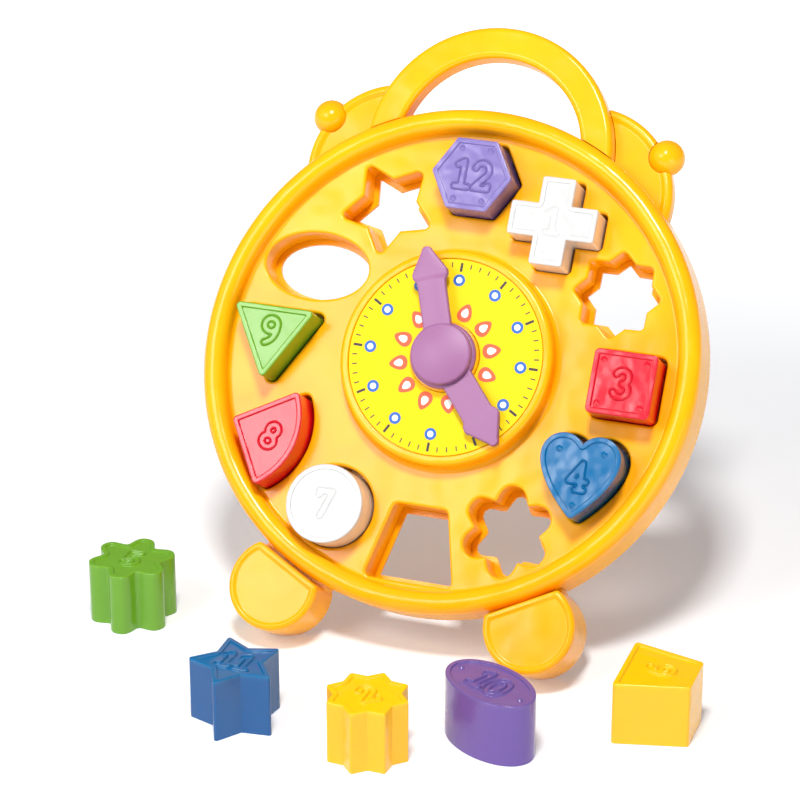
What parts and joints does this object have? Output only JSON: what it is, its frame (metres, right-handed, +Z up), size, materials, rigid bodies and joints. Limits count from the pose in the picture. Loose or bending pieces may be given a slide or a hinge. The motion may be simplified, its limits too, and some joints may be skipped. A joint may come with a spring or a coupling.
{
  "type": "learning clock toy",
  "caption": "Round shape-sorting toy clock with turning hands, a carry handle and a fold-out rear stand, seated and loose numbered shape blocks.",
  "frame": {"origin": "floor level under the middle of the whole set's bounding box", "axes": "+Z up from the floor, +X to the right as the dial is seen, +Y from the dial to the rear stand"},
  "size_m": [0.324, 0.3482, 0.2787],
  "materials": {
    "yellow_body": "smooth moulded, medium gloss",
    "lemon_disc": "printed, satin",
    "lilac_hands": "moulded, satin",
    "steel": "plain",
    "white_nylon": "plain",
    "white_block": "moulded, medium gloss",
    "yellow_block": "moulded, medium gloss",
    "red_block": "moulded, medium gloss",
    "blue_block": "moulded, medium gloss",
    "green_block": "moulded, medium gloss",
    "purple_block": "moulded, satin",
    "lavender_block": "moulded, medium gloss"
  },
  "bodies": {
    "case": {"front_shell": "yellow_body", "rear_shell": "yellow_body", "face_disc": "lemon_disc", "handle": "yellow_body", "left_bell": "yellow_body", "right_bell": "yellow_body", "left_bell_knob": "yellow_body", "right_bell_knob": "yellow_body", "left_foot": "yellow_body", "right_foot": "yellow_body", "stand_hinge_pin": "steel", "shell_screw_1": "steel", "shell_screw_2": "steel", "shell_screw_3": "steel", "shell_screw_4": "steel", "shell_screw_5": "steel", "shell_screw_6": "steel"},
    "hour_hand": {"hour_hand": "lilac_hands"},
    "minute_hand": {"minute_hand": "lilac_hands", "hand_washer": "white_nylon", "hand_screw": "steel"},
    "stand": {"rear_stand": "yellow_body"},
    "block_1_cross": {"block_1_cross": "white_block"},
    "block_2_small_star": {"block_2_small_star": "yellow_block"},
    "block_3_square": {"block_3_square": "red_block"},
    "block_4_heart": {"block_4_heart": "blue_block"},
    "block_5_flower": {"block_5_flower": "green_block"},
    "block_6_trapezoid": {"block_6_trapezoid": "yellow_block"},
    "block_7_circle": {"block_7_circle": "white_block"},
    "block_8_quarter": {"block_8_quarter": "red_block"},
    "block_9_triangle": {"block_9_triangle": "green_block"},
    "block_10_oval": {"block_10_oval": "purple_block"},
    "block_11_big_star": {"block_11_big_star": "blue_block"},
    "block_12_hexagon": {"block_12_hexagon": "lavender_block"}
  },
  "joints": [
    {"name": "hour_hand_turn", "type": "hinge", "parent": "case", "child": "hour_hand", "pos_m": [0.00426, 0.00368, 0.1384], "axis": [0, -0.8251, 0.565], "continuous": true},
    {"name": "minute_hand_turn", "type": "hinge", "parent": "case", "child": "minute_hand", "pos_m": [0.00426, 0.00368, 0.1384], "axis": [0, -0.8251, 0.565], "continuous": true},
    {"name": "stand_fold", "type": "hinge", "parent": "case", "child": "stand", "pos_m": [0.00426, 0.06563, 0.1687], "axis": [-1, 0, 0], "range_deg": [0, 65]},
    {"name": "block_1_cross_pull", "type": "slide", "parent": "case", "child": "block_1_cross", "axis": [0, -0.8251, 0.565], "range_m": [0, 0.05]},
    {"name": "block_2_small_star_lift", "type": "slide", "parent": "case", "child": "block_2_small_star", "axis": [0, 0, 1], "range_m": [0, 0.05]},
    {"name": "block_3_square_pull", "type": "slide", "parent": "case", "child": "block_3_square", "axis": [0, -0.8251, 0.565], "range_m": [0, 0.05]},
    {"name": "block_4_heart_pull", "type": "slide", "parent": "case", "child": "block_4_heart", "axis": [0, -0.8251, 0.565], "range_m": [0, 0.05]},
    {"name": "block_5_flower_lift", "type": "slide", "parent": "case", "child": "block_5_flower", "axis": [0, 0, 1], "range_m": [0, 0.05]},
    {"name": "block_6_trapezoid_lift", "type": "slide", "parent": "case", "child": "block_6_trapezoid", "axis": [0, 0, 1], "range_m": [0, 0.05]},
    {"name": "block_7_circle_pull", "type": "slide", "parent": "case", "child": "block_7_circle", "axis": [0, -0.8251, 0.565], "range_m": [0, 0.05]},
    {"name": "block_8_quarter_pull", "type": "slide", "parent": "case", "child": "block_8_quarter", "axis": [0, -0.8251, 0.565], "range_m": [0, 0.05]},
    {"name": "block_9_triangle_pull", "type": "slide", "parent": "case", "child": "block_9_triangle", "axis": [0, -0.8251, 0.565], "range_m": [0, 0.05]},
    {"name": "block_10_oval_lift", "type": "slide", "parent": "case", "child": "block_10_oval", "axis": [0, 0, 1], "range_m": [0, 0.05]},
    {"name": "block_11_big_star_lift", "type": "slide", "parent": "case", "child": "block_11_big_star", "axis": [0, 0, 1], "range_m": [0, 0.05]},
    {"name": "block_12_hexagon_pull", "type": "slide", "parent": "case", "child": "block_12_hexagon", "axis": [0, -0.8251, 0.565], "range_m": [0, 0.05]}
  ]
}
